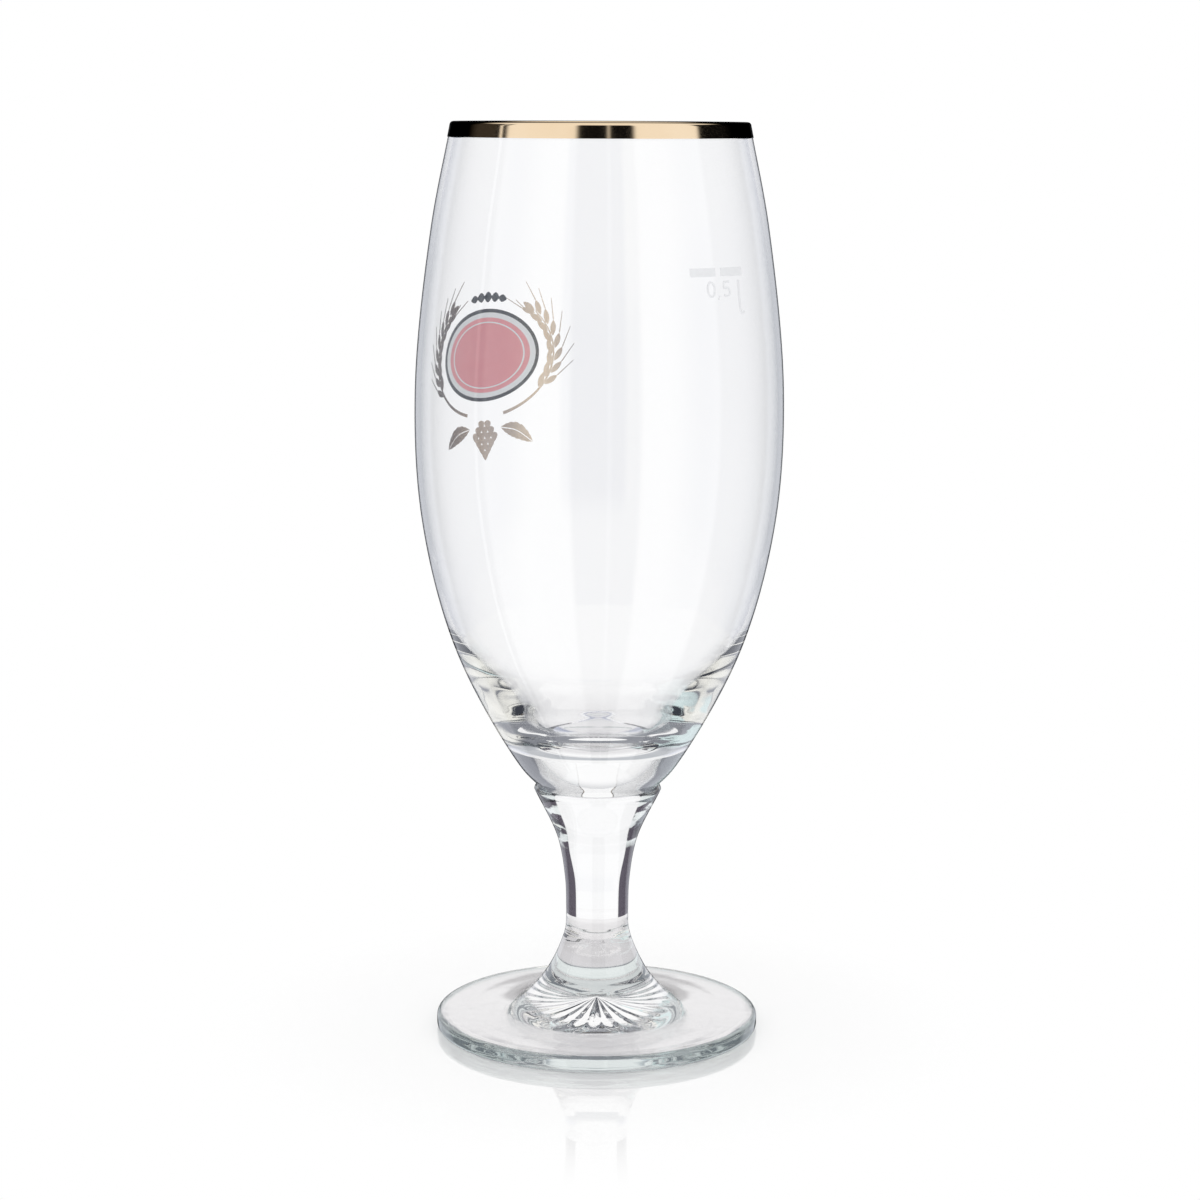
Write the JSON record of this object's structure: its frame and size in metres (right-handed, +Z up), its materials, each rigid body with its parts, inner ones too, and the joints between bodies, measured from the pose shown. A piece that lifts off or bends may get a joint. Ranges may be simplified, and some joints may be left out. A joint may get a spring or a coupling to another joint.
{
  "type": "pilsner glass",
  "caption": "Stemmed pilsner beer glass with a tall tulip bowl, thick base, waisted stem and round foot, a gilded lip, a fired print and a fill mark.",
  "frame": {"origin": "on the table, at the centre of the foot's standing ring", "axes": "+Z up along the glass's axis, -Y towards the front print, +Y towards the fill mark"},
  "size_m": [0.0874, 0.0875, 0.2182],
  "materials": {
    "clear_glass": "clear soda-lime glass, fire polished",
    "gilding": "burnished gold, fired on",
    "gold_print": "lustre gold print, fired on",
    "red_enamel": "red ceramic enamel, fired on",
    "dark_enamel": "black ceramic enamel, fired on",
    "pale_enamel": "pale grey ceramic enamel, fired on"
  },
  "bodies": {
    "root": {"bowl": "clear_glass", "stem": "clear_glass", "foot": "clear_glass", "rim_band": "gilding", "oval_panel": "red_enamel", "oval_outline": "dark_enamel", "barley_ear_left": "gold_print", "barley_ear_right": "gold_print", "hop_cone": "gold_print", "hop_leaf_left": "gold_print", "hop_leaf_right": "gold_print", "beaded_arch": "dark_enamel", "fill_bar_left": "pale_enamel", "fill_bar_right": "pale_enamel", "capacity_zero": "pale_enamel", "capacity_comma": "pale_enamel", "capacity_five": "pale_enamel", "capacity_litre": "pale_enamel"}
  },
  "joints": []
}
